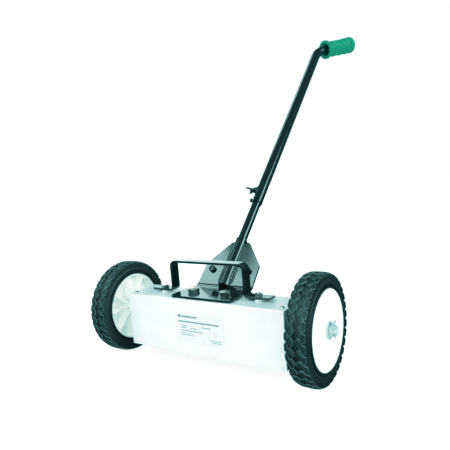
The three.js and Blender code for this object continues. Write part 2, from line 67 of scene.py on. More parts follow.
GRIP_DIR = (TUBE_DIR * math.cos(GRIP_BEND) - PLATE_N * math.sin(GRIP_BEND) * math.cos(GRIP_TURN)
            + Vector((1, 0, 0)) * math.sin(GRIP_BEND) * math.sin(GRIP_TURN))
GRIP_SIDE = Vector((0, 0, 1)).cross(GRIP_DIR).normalized()
WING_S, STOP_S = 249.0, 220.0
BASE_FRONT, BASE_HALF, WAIST, MID_HALF, TOP_HALF = -32.0, 65.3, 60.5, 59.3, 19.1
MID_S, TIP_S = 51.0, 103.9
BOLT_X, BOLT_S = 39.8, 37.4                       # the upright's two bolts
BASE_BOLT_X, BASE_BOLT_Y = 34.0, -1.5
END_PLATE_T, HUB_RIBS = 3.0, 9
SPINDLE_R, SPINDLE_END, HUB_BORE = 6.0, 235.0, 6.3
SCREW_X, SCREW_Y, SCREW_Z = 156.0, -25.0, 75.0


# ---- places ---------------------------------------------------------------------------------------
def basis(x, y, z, origin):
    m = Matrix((x, y, z)).transposed().to_4x4()
    m.translation = origin
    return m


def tube_point(s):
    return BEND + PLATE_N * TUBE_OFF + TUBE_DIR * (s - FOOT_S)


def on_tube(s):
    """+Z along the tube, +X right, +Y behind it."""
    return basis(Vector((1, 0, 0)), -PLATE_N, TUBE_DIR, tube_point(s))


def on_plate(x=0.0, s=0.0):
    """+X right, +Y up the upright, +Z out of its front."""
    return basis(Vector((1, 0, 0)), TUBE_DIR, PLATE_N, BEND + Vector((x, 0, 0)) + TUBE_DIR * s)


def on_grip(s):
    return basis(GRIP_SIDE, GRIP_DIR.cross(GRIP_SIDE), GRIP_DIR, tube_point(CORNER_S) + GRIP_DIR * s)


def on_axle(side):
    """+Z outward along the axle."""
    out, up = Vector((side, 0, 0)), Vector((0, 0, 1))
    return basis(up.cross(out), up, out, Vector((0, 0, WHEEL_R)))


LEFTWARD = Matrix.Rotation(-math.pi / 2, 4, "Y")  # lays +Z along -X
YZ_ALONG_X = Matrix(((0, 0, 1, 0), (1, 0, 0, 0), (0, 1, 0, 0), (0, 0, 0, 1)))
XZ_ALONG_Y = Matrix(((1, 0, 0, 0), (0, 0, -1, 0), (0, 1, 0, 0), (0, 0, 0, 1)))


# ---- materials ------------------------------------------------------------------------------------
class Nodes:
    """Short hand for building a material's node tree."""

    def __init__(self, name):
        self.mat = bpy.data.materials.new(name)
        self.mat.use_nodes = True
        self.tree = self.mat.node_tree
        self.bsdf = self.tree.nodes["Principled BSDF"]
        self.coord = self.tree.nodes.new("ShaderNodeTexCoord").outputs["Object"]

    def set(self, **values):
        for key, value in values.items():
            self.bsdf.inputs[key.replace("_", " ")].default_value = value

    def feed(self, output, name):
        self.tree.links.new(output, self.bsdf.inputs[name])

    def noise(self, scale, detail=3.0, rough=0.55, stretch=None):
        coord = self.coord
        if stretch:
            m = self.tree.nodes.new("ShaderNodeMapping")
            m.inputs["Scale"].default_value = stretch
            self.tree.links.new(coord, m.inputs["Vector"])
            coord = m.outputs["Vector"]
        n = self.tree.nodes.new("ShaderNodeTexNoise")
        for key, v in (("Scale", scale), ("Detail", detail), ("Roughness", rough)):
            n.inputs[key].default_value = v
        self.tree.links.new(coord, n.inputs["Vector"])
        return n.outputs["Fac"]

    def spread(self, fac, low, high, start=0.3, end=0.7):
        m = self.tree.nodes.new("ShaderNodeMapRange")
        for key, v in (("From Min", start), ("From Max", end), ("To Min", low), ("To Max", high)):
            m.inputs[key].default_value = v
        self.tree.links.new(fac, m.inputs["Value"])
        return m.outputs["Result"]

    def mix(self, fac, a, b):
        """Two colours, each a tuple or an output, mixed by fac."""
        m = self.tree.nodes.new("ShaderNodeMix")
        m.data_type = "RGBA"
        for socket, v in zip([s for s in m.inputs if s.type == "RGBA"], (a, b)):
            if isinstance(v, tuple):
                socket.default_value = (*v, 1.0)
            else:
                self.tree.links.new(v, socket)
        self.tree.links.new(fac, m.inputs["Factor"])
        return next(o for o in m.outputs if o.type == "RGBA")

    def bump(self, height, strength, distance, before=None):
        b = self.tree.nodes.new("ShaderNodeBump")
        b.inputs["Strength"].default_value = strength
        b.inputs["Distance"].default_value = distance
        self.tree.links.new(height, b.inputs["Height"])
        if before is not None:
            self.tree.links.new(before, b.inputs["Normal"])
        return b.outputs["Normal"]


def coated(name, colour, shade, rough, peel, coat=0.0, ior=1.5, patch=35.0, grain=900.0, coat_rough=0.05):
    """Paint or moulded plastic: patches of tone, uneven gloss and a fine skin."""
    n = Nodes(name)
    n.feed(n.mix(n.spread(n.noise(patch, 4.0), 0.0, 1.0), colour, shade), "Base Color")
    n.feed(n.spread(n.noise(patch * 3, 4.0), rough * 0.8, rough * 1.2), "Roughness")
    fine = n.bump(n.noise(grain, 2.0), peel, 0.0004)
    n.feed(n.bump(n.noise(grain / 6, 2.0), peel * 0.5, 0.0008, fine), "Normal")
    n.set(IOR=ior, Coat_Weight=coat, Coat_Roughness=coat_rough)
    return n.mat


def metal(name, colour, shade, rough, scratch=0.08, stretch=(1, 1, 1), grain=500.0):
    """Plated or bare steel with a directional scratch and cloudy plating."""
    n = Nodes(name)
    n.feed(n.mix(n.spread(n.noise(60.0, 4.0), 0.0, 1.0), colour, shade), "Base Color")
    n.feed(n.spread(n.noise(140.0, 4.0, 0.6, stretch), rough * 0.7, rough * 1.35), "Roughness")
    n.feed(n.bump(n.noise(grain, 3.0, 0.6, stretch), scratch, 0.0003), "Normal")
    n.set(Metallic=1.0)
    return n.mat


def rubber(name, shade):
    """Moulded rubber with a grey bloom and dust on it; shade is its middle grey."""
    n = Nodes(name)
    r, g, b = 0.76 * shade, shade, 1.03 * shade
    base = n.mix(n.spread(n.noise(28.0, 5.0), 0.0, 1.0), (0.8 * r, 0.8 * g, 0.8 * b),
                 (1.3 * r, 1.3 * g, 1.3 * b))
    dust = n.spread(n.noise(210.0, 4.0, 0.7), 0.0, 1.0, 0.48, 0.78)
    n.feed(n.mix(dust, base, (2.2 * r, 2.2 * g, 2.2 * b)), "Base Color")
    n.feed(n.spread(n.noise(90.0, 4.0), 0.42, 0.62), "Roughness")
    fine = n.bump(n.noise(1500.0, 3.0), 0.22, 0.0004)
    n.feed(n.bump(n.noise(240.0, 3.0), 0.15, 0.0006, fine), "Normal")
    return n.mat


WHITE = coated("white_paint", (0.80, 0.835, 0.84), (0.83, 0.86, 0.865), 0.34, 0.10, coat=0.25)
BLACK = coated("black_paint", (0.006, 0.010, 0.011), (0.009, 0.014, 0.015), 0.12, 0.03, coat=0.6, ior=1.6)
TUBE = coated("tube_paint", (0.006, 0.010, 0.011), (0.009, 0.014, 0.015), 0.13, 0.03, coat=0.2, ior=1.55,
              coat_rough=0.08)
OXIDE = coated("black_oxide", (0.012, 0.017, 0.018), (0.026, 0.034, 0.035), 0.32, 0.12, coat=0.1)
ZINC = metal("zinc", (0.70, 0.72, 0.71), (0.58, 0.60, 0.60), 0.24)
# the big bolts' plating in two copies: the light yellow zinc of the head's top is painted light, the darker
# grey of its sides painted shade
YELLOW_ZINC_LIT_TOP = metal("bolt_zinc_painted_light", (0.95, 0.88, 0.78), (0.80, 0.74, 0.66), 0.36)
BOLT_SIDE_SHADE = metal("bolt_side_painted_shade", (0.46, 0.46, 0.44), (0.36, 0.36, 0.35), 0.30)
STEEL = metal("stainless", (0.60, 0.62, 0.63), (0.52, 0.54, 0.55), 0.32, stretch=(0.05, 1, 1))
FERRITE = coated("ferrite", (0.045, 0.045, 0.05), (0.06, 0.06, 0.062), 0.6, 0.3)
GLOW_PLASTIC = coated("white_plastic", (0.70, 0.72, 0.71), (0.72, 0.74, 0.73), 0.36, 0.05, coat=0.1)
# the plastic also glows (Emission Strength 0.25): a painted glow that lightens the hubs' shaded inner sides
# and flattens the shading of their ribs; the bushes take it too
for key, value in (("Subsurface Weight", 0.5), ("Subsurface Radius", (0.01, 0.01, 0.01)),
                   ("Subsurface Scale", 1.0), ("Emission Color", (0.93, 0.93, 0.87, 1.0)),
                   ("Emission Strength", 0.25)):
    GLOW_PLASTIC.node_tree.nodes["Principled BSDF"].inputs[key].default_value = value
GREEN = coated("green_plastic", (0.009, 0.265, 0.158), (0.007, 0.235, 0.140), 0.6, 0.10, ior=1.33)
LABEL = coated("label_film", (0.775, 0.795, 0.80), (0.785, 0.805, 0.81), 0.30, 0.02)
INK = coated("label_ink", (0.20, 0.24, 0.25), (0.26, 0.30, 0.31), 0.5, 0.02)
# the first rubber, darkest, is painted shade on the sidewalls and in the grooves; the third, about ten
# times lighter than the tread, is a painted highlight along the blocks' edges
SHADED_RUBBER, TREAD, TREAD_HIGHLIGHT = rubber("rubber", 0.013), rubber("tread", 0.022), rubber("tread_painted_highlight", 0.20)
MATT_ZINC = coated("matt_zinc", (0.66, 0.69, 0.70), (0.52, 0.55, 0.56), 0.35, 0.08)


# ---- mesh helpers ---------------------------------------------------------------------------------
def finish_mesh(name, bm, mat, body, nodes=(), sharp=32.0, matrix=None, bevel=None):
    """Turns a millimetre bmesh into a riding piece, shaded smooth with sharp folds kept."""
    if matrix is not None:
        bmesh.ops.transform(bm, matrix=matrix, verts=bm.verts)
    bmesh.ops.remove_doubles(bm, verts=bm.verts, dist=0.001)
    bmesh.ops.recalc_face_normals(bm, faces=bm.faces)
    bmesh.ops.scale(bm, vec=(MM, MM, MM), verts=bm.verts)
    mesh = bpy.data.meshes.new(name)
    bm.to_mesh(mesh)
    bm.free()
    for m in mat if isinstance(mat, tuple) else (mat,):
        mesh.materials.append(m)
    mesh.shade_smooth()
    mesh.set_sharp_from_angle(angle=math.radians(180 if bevel else sharp))
    obj = bpy.data.objects.new(name, mesh)
    bpy.context.scene.collection.objects.link(obj)
    if bevel:
        mod = obj.modifiers.new("edge", "BEVEL")
        mod.width, mod.segments, mod.limit_method = bevel * MM, 3, "ANGLE"
        mod.angle_limit = math.radians(38)
        mod.harden_normals = True
    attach(obj, body)
    if nodes:
        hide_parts(*nodes)
    return obj


def circle(r, z, sides, phase=0.0):
    turns = (phase + 2 * math.pi * i / sides for i in range(sides))
    return [(r * math.cos(t), r * math.sin(t), z) for t in turns]


def loft(bm, loops, caps=True, closed=False, matrix=None):
    """Faces between loops of equally many points, given back band by band. A loop of one point is a tip."""
    rings = [[bm.verts.new(p) for p in loop] for loop in loops]
    n = max(len(r) for r in rings)
    wide = [r if len(r) == n else r * n for r in rings]
    bands = []
    for a, b in list(zip(wide, wide[1:])) + ([(wide[-1], wide[0])] if closed else []):
        bands.append([])
        for i in range(n):
            j = (i + 1) % n
            face = list(dict.fromkeys((a[i], a[j], b[j], b[i])))
            if len(face) > 2:
                bands[-1].append(bm.faces.new(face))
    if caps and not closed:
        for ring in (rings[0][::-1], rings[-1]):
            if len(ring) > 2:
                bands.append([bm.faces.new(ring)])
    if matrix is not None:
        bmesh.ops.transform(bm, matrix=matrix, verts=[v for r in rings for v in r])
    return bands


def revolve(bm, profile, sides=64, matrix=None, closed=True):
    """A (radius, height) outline turned about +Z; a point on the axis becomes one vertex."""
    loops = [circle(r, z, sides) if r > 1e-6 else [(0, 0, z)] for r, z in profile]
    loft(bm, loops, caps=False, closed=closed, matrix=matrix)


def prism(bm, outline, low, high, matrix=None):
    """A flat outline in X, Y raised from z low to high."""
    loft(bm, [[(x, y, low) for x, y in outline], [(x, y, high) for x, y in outline]], matrix=matrix)


def fillet(points, radii, steps=6, closed=False):
    """Rounds the corners of a flat polyline and gives (x, y) pairs."""
    pts = [Vector((x, y)) for x, y in points]
    n, out = len(pts), []
    for i, p in enumerate(pts):
        r = radii[i] if isinstance(radii, (list, tuple)) else radii
        if (not closed and i in (0, n - 1)) or r == 0:
            out.append(p)
            continue
        a, b = (pts[i - 1] - p).normalized(), (pts[(i + 1) % n] - p).normalized()
        half = a.angle(b) / 2
        centre = p + (a + b).normalized() * (r / math.sin(half))
        start, end = p + a * (r / math.tan(half)) - centre, p + b * (r / math.tan(half)) - centre
        turn = start.angle(end)
        for k in range(steps + 1):
            t = k / steps
            out.append(centre + (start * math.sin((1 - t) * turn) + end * math.sin(t * turn))
                       / math.sin(turn))
    return [(p.x, p.y) for p in out]


def normals(path):
    """Left-hand normals along a flat polyline, lengthened at its corners."""
    pts = [Vector(p) for p in path]
    out = []
    for i, p in enumerate(pts):
        ahead, behind = pts[min(i + 1, len(pts) - 1)] - p, p - pts[max(i - 1, 0)]
        ahead = ahead if ahead.length > 1e-9 else behind
        behind = behind if behind.length > 1e-9 else ahead
        t = (ahead.normalized() + behind.normalized()).normalized()
        out.append(Vector((-t.y, t.x)) / max(0.6, t.dot(behind.normalized())))
    return out


def strip(line, radii, thick, steps=8):
    """Outline of a strip of even thickness along a rounded centreline."""
    path = fillet(line, radii, steps)
    sides = normals(path)
    left = [(x + n.x * thick / 2, y + n.y * thick / 2) for (x, y), n in zip(path, sides)]
    right = [(x - n.x * thick / 2, y - n.y * thick / 2) for (x, y), n in zip(path, sides)]
    return left + right[::-1]


def sweep(bm, points, tangents, radii, sides=40, ref=Vector((1, 0, 0)), bore=0.0):
    """A round rod through points, solid or with a bore."""
    rings = {r: [] for r in ("out", "in")}
    for p, t, r in zip(points, tangents, radii):
        y = t.cross(ref).normalized()
        ref = y.cross(t).normalized()
        for key, size in (("out", r), ("in", bore)):
            rings[key].append([p + ref * x + y * w for x, w, _ in circle(size, 0, sides)])
    if bore:
        loft(bm, rings["out"] + rings["in"][::-1], closed=True)
    else:
        loft(bm, rings["out"])


def hex_body(bm, across, low, high, bore=0.0, top=True, under=False, matrix=None):
    """A nut or head: a hexagon whose ends are cut by a cone, with an optional bore."""
    sides, flat = 48, across / 2

    def reach(i):
        a = (2 * math.pi * i / sides + math.pi / 6) % (math.pi / 3) - math.pi / 6
        return flat / math.cos(a)

    def ring(z, face_sign, limit=None):
        pts = []
        for i in range(sides):
            a = 2 * math.pi * i / sides + math.pi / 6
            r = min(reach(i), limit) if limit else reach(i)
            drop = 0.0 if limit else max(0.0, r - flat * 0.96) * 0.55
            pts.append((r * math.cos(a), r * math.sin(a), z - face_sign * drop))
        return pts

    edge = flat * 0.96
    loops = [ring(low, -1, edge), ring(low, -1)] if under else [ring(low, 0)]
    loops += [ring(high, 1), ring(high, 1, edge)] if top else [ring(high, 0)]
    if bore:
        loops = [circle(bore, low, sides, math.pi / 6)] + loops + [circle(bore, high, sides, math.pi / 6)]
    loft(bm, loops, closed=bool(bore), matrix=matrix)


# ---- housing --------------------------------------------------------------------------------------
PRINT = ((-46, 92.5, 6, 4.5), (-38, 93.4, 34, 2.4), (-46, 84.4, 88, 2.0), (-41, 77.6, 16, 1.1),
         (4, 77.6, 20, 1.1), (-41, 73.6, 12, 1.1), (-20, 73.6, 14, 1.1), (-41, 68.4, 48, 1.1),
         (-41, 64.2, 22, 0.8), (-41, 60.6, 30, 0.8), (20, 57.0, 24, 0.8), (24, 53.6, 20, 0.8))


def build_housing():
    bm = bmesh.new()
    d = (HOUSING_D - SHEET) / 2
    u = strip([(-d, BOTTOM), (-d, TOP - SHEET / 2), (d, TOP - SHEET / 2), (d, BOTTOM)],
              [0, 2.6, 2.6, 0], SHEET)
    prism(bm, u, -HOUSING_L / 2, HOUSING_L / 2, YZ_ALONG_X)
    finish_mesh("housing_skin", bm, WHITE, "frame", ["housing_shell"], bevel=0.35)

    y, high, out = HOUSING_D / 2 - SHEET - CLEAR, TOP - SHEET - CLEAR, HOUSING_L / 2 - PLATE_INSET
    for name, side in SIDES:
        bm = bmesh.new()
        face = fillet([(-y, BOTTOM), (y, BOTTOM), (y, high), (-y, high)], [1, 1, 3, 3], 4, closed=True)
        low_x, high_x = sorted((side * out, side * (out - END_PLATE_T)))
        prism(bm, face, low_x, high_x, YZ_ALONG_X)
        x0, x1 = sorted((side * (out - 18), side * (out - 2.5)))
        flange = [(x0, -y + 3), (x1, -y + 3), (x1, y - 3), (x0, y - 3)]
        prism(bm, flange, high - 3, high)
        back = fillet([(x0, SCREW_Z - 25), (x1, SCREW_Z - 25), (x1, SCREW_Z + 25), (x0, SCREW_Z + 25)],
                      2, 4, closed=True)
        prism(bm, back, -y, 3 - y, XZ_ALONG_Y)
        finish_mesh(f"end_cap_{name}", bm, BLACK, "frame", [f"end_plate_{name}"], bevel=0.5)

    bm = bmesh.new()
    edge = fillet([(-51, 46.5), (51, 46.5), (51, 101), (-51, 101)], 3, 6, closed=True)
    prism(bm, edge, HOUSING_D / 2 + 0.05, HOUSING_D / 2 + 0.4, XZ_ALONG_Y)
    finish_mesh("label", bm, LABEL, "frame", ["label_plate"], bevel=0.1)

    bm = bmesh.new()                              # plain rules stand in for the print
    for x, z, length, high in PRINT:
        prism(bm, [(x, z), (x + length, z), (x + length, z + high), (x, z + high)],
              HOUSING_D / 2 + 0.3, HOUSING_D / 2 + 0.45, XZ_ALONG_Y)
    finish_mesh("label_rules", bm, INK, "frame")


def build_screws():
    head = [(0, -6.4), (2.1, -6.4), (2.1, 0.1), (4.2, 0.1), (4.3, 0.9), (3.6, 1.9), (2.2, 2.45),
            (2.0, 1.3), (0, 1.2)]
    for name, side in SIDES:
        bm = bmesh.new()
        revolve(bm, head, 32, closed=False)
        finish_mesh(f"lid_screw_{name}", bm, ZINC, "frame", [f"top_screw_{name}"],
                    matrix=Matrix.Translation((side * SCREW_X, SCREW_Y, TOP + 0.2)))
        bm = bmesh.new()
        revolve(bm, head, 32, closed=False)
        finish_mesh(f"rear_screw_{name}", bm, ZINC, "frame", [f"back_screw_{name}"],
                    matrix=Matrix.Translation((side * SCREW_X, HOUSING_D / 2 + 0.2, SCREW_Z))
                    @ Matrix.Rotation(-math.pi / 2, 4, "X"))


# ---- wheels ---------------------------------------------------------------------------------------
LUGS = 34                                         # pairs of tread blocks round a tyre
TREAD_DEPTH = 2.7
LUG_ROW, LUG_LEAN, LUG_REACH = 6.7, 0.012, 16.3    # row from the middle, stagger, outermost edge
SHOULDER_OUT = 2.03                               # how far out a shoulder block sits, in rows


def crown(v):
    """Tyre radius at a distance v from its middle."""
    return WHEEL_R - (v / 13.2) ** 4


def lug(bm, turn, v0, a, b, power, island=True):
    """One rounded-diamond tread block: a raised rim, a groove and an island inside it. The rises to the rim
    and to the island take a much lighter rubber, a painted highlight, and the skirt and the groove take the
    darkest rubber, painted shade.
    """
    def loop(grow, drop):
        pts = []
        for i in range(20):
            t = 2 * math.pi * (i + 0.5) / 20
            c, s = math.cos(t), math.sin(t)
            k = (abs(c) ** power + abs(s) ** power) ** (-1 / power)
            v = max(-LUG_REACH, min(LUG_REACH, v0 + (b + grow) * k * s))
            u = turn + (a + grow) * k * c / WHEEL_R
            r = crown(v) - drop
            pts.append((r * math.cos(u), r * math.sin(u), TYRE_MID + v))
        return pts
    loops = [loop(0.8, TREAD_DEPTH + 0.6), loop(0.2, 0.5), loop(-0.3, 0.0), loop(-1.5, 0.0)]
    if island:
        loops += [loop(-1.8, 1.1), loop(-2.5, 1.1), loop(-2.9, 0.15), loop(-4.2, 0.0)]
    else:
        loops += [loop(-1.8, 0.7)]
    bands = loft(bm, loops)
    # index 2 is the painted highlight on the rising edges, index 0 the painted shade of the skirt and
    # groove
    looks = (0, 2, 1, 0, 0, 2, 1, 0, 1) if island else (0, 2, 1, 0, 0, 1)
    for look, band in zip(looks, bands):
        for face in band:
            face.material_index = look


def build_wheel(name, side):
    bm = bmesh.new()
    m, w = TYRE_MID, TYRE_HALF
    half = [(64.3, w + 0.7), (65.3, w + 0.7), (66.2, w - 0.4), (66.9, w - 3.0), (68.9, w - 3.2),
            (69.7, w - 1.6), (70.5, w - 0.4), (71.6, w), (73.4, w - 0.1), (74.6, w - 1.0),
            (77.0, w - 1.6), (80.0, w - 1.3), (83.0, w - 1.3), (84.6, w - 2.1), (85.4, w - 3.8)]
    profile = [(r, m + z) for r, z in half]
    profile += [(crown(v) - TREAD_DEPTH, m + v) for v in (10, 6, 2, -2, -6, -10)]
    profile += [(r, m - z) for r, z in reversed(half)]
    revolve(bm, profile, 136)
    for i in range(LUGS):
        turn = 2 * math.pi * i / LUGS - math.pi / 2
        for v in (-LUG_ROW, LUG_ROW):
            lug(bm, turn + (LUG_LEAN if v > 0 else -LUG_LEAN), v, 8.0, 6.3, 1.5)
            lug(bm, turn + math.pi / LUGS, v * SHOULDER_OUT, 6.4, 3.8, 2.4, island=False)
    finish_mesh(f"tyre_{name}_tread", bm, (SHADED_RUBBER, TREAD, TREAD_HIGHLIGHT), f"wheel_{name}",
                [f"tyre_{name}"], sharp=28, matrix=on_axle(side))

    bm = bmesh.new()
    face = [(6.3, HUB_START), (14.4, HUB_START), (15.0, 183.6), (15.6, 205), (17.5, 207), (40, 207.5),
            (59.5, 208.5), (61.3, 207.0), (61.6, 188.2), (62.0, 187.0), (62.8, 186.6), (63.6, 186.9),
            (RIM_R, 187.8), (RIM_R, 219.6), (63.7, 220.8), (63.1, HUB_LIP), (62.2, HUB_LIP), (61.0, 220.8),
            (57.0, 219.4), (50.0, 218.3), (40.0, 217.8), (28.0, 217.9), (20.0, 218.6), (17.2, 219.4),
            (16.2, 220.4), (15.4, HUB_FACE), (6.3, HUB_FACE)]
    revolve(bm, face, 128)
    for i in range(HUB_RIBS):
        rib = [(14.5, -1.5), (62.2, -1.1), (62.2, 1.1), (14.5, 1.5)]
        prism(bm, rib, 190, 208.2, Matrix.Rotation(2 * math.pi * i / HUB_RIBS, 4, "Z"))
    finish_mesh(f"hub_{name}_disc", bm, GLOW_PLASTIC, f"wheel_{name}", [f"hub_{name}"], sharp=30,
                matrix=on_axle(side))


def build_axle_gear(name, side):
    place = on_axle(side)
    seat = HOUSING_L / 2 - PLATE_INSET - END_PLATE_T - CLEAR     # the head is inside the end plate
    nut = seat + 3.6
    washer = HUB_FACE + CLEAR
    castle = washer + 2.3

    bm = bmesh.new()
    revolve(bm, [(0, seat - 1), (SPINDLE_R, seat - 1), (SPINDLE_R, 233.6), (5.4, 234.6),
                 (4.4, SPINDLE_END), (0, SPINDLE_END)], 40, closed=False)
    hex_body(bm, 19, seat - 7.6, seat, top=False, under=True)
    finish_mesh(f"axle_{name}", bm, MATT_ZINC, "frame", [f"spindle_{name}"], matrix=place)

    bm = bmesh.new()
    hex_body(bm, 19, nut, nut + 8, 6.2, True, True)
    finish_mesh(f"axle_nut_{name}", bm, MATT_ZINC, "frame", [f"spindle_nut_{name}"], matrix=place)

    bm = bmesh.new()
    a, b = nut + 8.3, HUB_START - CLEAR
    revolve(bm, [(HUB_BORE, a), (8.4, a), (9, a + 0.6), (9, b - 0.6), (8.4, b), (HUB_BORE, b)], 40)
    finish_mesh(f"sleeve_{name}", bm, MATT_ZINC, "frame", [f"spacer_{name}"], matrix=place)

    bm = bmesh.new()
    revolve(bm, [(HUB_BORE, washer), (13.4, washer), (14.0, washer + 0.5), (14.0, washer + 1.5),
                 (13.4, washer + 2), (HUB_BORE, washer + 2)], 56)
    finish_mesh(f"plain_washer_{name}", bm, MATT_ZINC, "frame", [f"washer_{name}"], matrix=place)

    bm = bmesh.new()
    hex_body(bm, 17, castle, castle + 5.2, 6.2, False, True)
    for i in range(6):                            # the castle's six merlons
        a = math.pi / 3 * i
        outer = [(8.3 * math.cos(a + k * 0.3), 8.3 * math.sin(a + k * 0.3)) for k in (1, 0.5, 0, -0.5, -1)]
        inner = [(6.3 * math.cos(a + k * 0.26), 6.3 * math.sin(a + k * 0.26)) for k in (-1, 1)]
        prism(bm, outer + inner, castle + 4.8, castle + 9.4)
    finish_mesh(f"slotted_nut_{name}", bm, MATT_ZINC, "frame", [f"castle_nut_{name}"], matrix=place)

    bm = bmesh.new()
    path = [Vector((0, y, 0)) for y in (-11.5, 8.0, 10.0)]
    path += [Vector((3.0 * math.sin(t), 13.2 - 3.0 * math.cos(t), 0))
             for t in (2 * math.pi * k / 16 for k in range(1, 16))]
    last = len(path) - 1
    tangents = [(path[min(i + 1, last)] - path[max(i - 1, 0)]).normalized() for i in range(last + 1)]
    sweep(bm, path, tangents, [1.2] * len(path), 14, ref=Vector((0, 0, 1)))
    finish_mesh(f"split_pin_{name}", bm, MATT_ZINC, "frame", [f"cotter_pin_{name}"],
                matrix=place @ Matrix.Translation((0, 0, castle + 6.6)))


# ---- bail and lift --------------------------------------------------------------------------------
def build_lift():
    bm = bmesh.new()
    z, x, up = BAIL_UNDER + BAIL_T / 2, BAIL_HALF - BAIL_T / 2, BAIL_TOP - BAIL_T / 2
    line = [(-BAIL_FOOT, z), (-x, z), (-x, up), (x, up), (x, z), (BAIL_FOOT, z)]
    prism(bm, strip(line, [0, 6, 10, 10, 6, 0], BAIL_T, 10), -BAIL_Y - BAIL_W / 2,
          -BAIL_Y + BAIL_W / 2, XZ_ALONG_Y)
    finish_mesh("bail_bar", bm, BLACK, "magnet_lift", ["bail"], bevel=0.7)
    top = BAIL_UNDER + BAIL_T
    low = TOP + CLEAR
    for name, side in SIDES:
        place = Matrix.Translation((side * LIFT_X, LIFT_Y, 0))
        bm = bmesh.new()
        revolve(bm, [(0, 48.6), (8.5, 48.6), (9, 49.1), (9, 53.1), (8.5, 53.6), (4.4, 54.6),
                     (4.4, BAIL_UNDER - 0.3), (3.8, BAIL_UNDER - 0.3), (3.8, top + 4.6),
                     (3.1, top + 5.4), (0, top + 5.4)], 32, closed=False)
        finish_mesh(f"stud_{name}", bm, ZINC, "magnet_lift", [f"lift_stud_{name}"], matrix=place)
        bm = bmesh.new()
        revolve(bm, [(4.8, 117), (5.4, 117), (5.4, low), (6.3, low), (6.6, low + 0.3), (6.6, low + 2.6),
                     (6.1, low + 3.2), (4.8, low + 3.2)], 40)
        finish_mesh(f"bush_{name}", bm, GLOW_PLASTIC, "frame", [f"guide_bush_{name}"], matrix=place)
        bm = bmesh.new()
        hex_body(bm, 13, top + 0.3, top + 4.9, 4.0, True, False)
        finish_mesh(f"stud_nut_{name}", bm, ZINC, "magnet_lift", [f"foot_nut_{name}"], matrix=place)


# ---- bracket and handle ---------------------------------------------------------------------------
def plate_rows():
    """The bent plate's middle line from front to tip, as (y, z, half width, slotted) rows."""
    low = PLATE_Z + PLATE_T / 2
    start = BEND - PLATE_N * PLATE_T / 2
    corner = start.y - (start.z - low) * math.tan(TILT)
    tip = start + TUBE_DIR * TIP_S
    path = fillet([(BASE_FRONT, low), (corner, low), (tip.y, tip.z)], [0, 15, 0], 14)
    rows, round_r = [], 7.0
    for k in range(7):                            # rounded front corners
        a = math.pi / 2 * k / 6
        rows.append((BASE_FRONT + round_r * (1 - math.cos(a)), low,
                     BASE_HALF - round_r * (1 - math.sin(a)), False))
    for k in range(1, 6):
        t = k / 6
        y = (BASE_FRONT + round_r) * (1 - t) + path[1][0] * t
        rows.append((y, low, BASE_HALF + (WAIST - BASE_HALF) * t, False))
    rows += [(y, z, WAIST, False) for y, z in path[1:-1]]
    slot = SOCKET_LOW - FOOT_S - CLEAR
    up = [slot, slot + 0.01, 14, 28, 40, 48, MID_S - 1.5, MID_S, MID_S + 1.5, 54, 66, 80, 94, TIP_S - 3.2,
          TIP_S - 1.6, TIP_S - 0.5, TIP_S]
    for s in up:
        p = start + TUBE_DIR * s
        if p.y < path[-2][0] + 0.4:
            continue
        if s < MID_S:
            half = WAIST + (MID_HALF - WAIST) * s / MID_S
        else:
            half = MID_HALF + (TOP_HALF - MID_HALF) * (s - MID_S) / (TIP_S - MID_S)
        if abs(s - MID_S) < 1:
            half -= 0.45
        over = max(0.0, s - (TIP_S - 3.2))
        half -= 3.2 - math.sqrt(max(0.0, 3.2 ** 2 - over ** 2))
        rows.append((p.y, p.z, half, s > slot))
    return rows


WELD_STEPS = 186


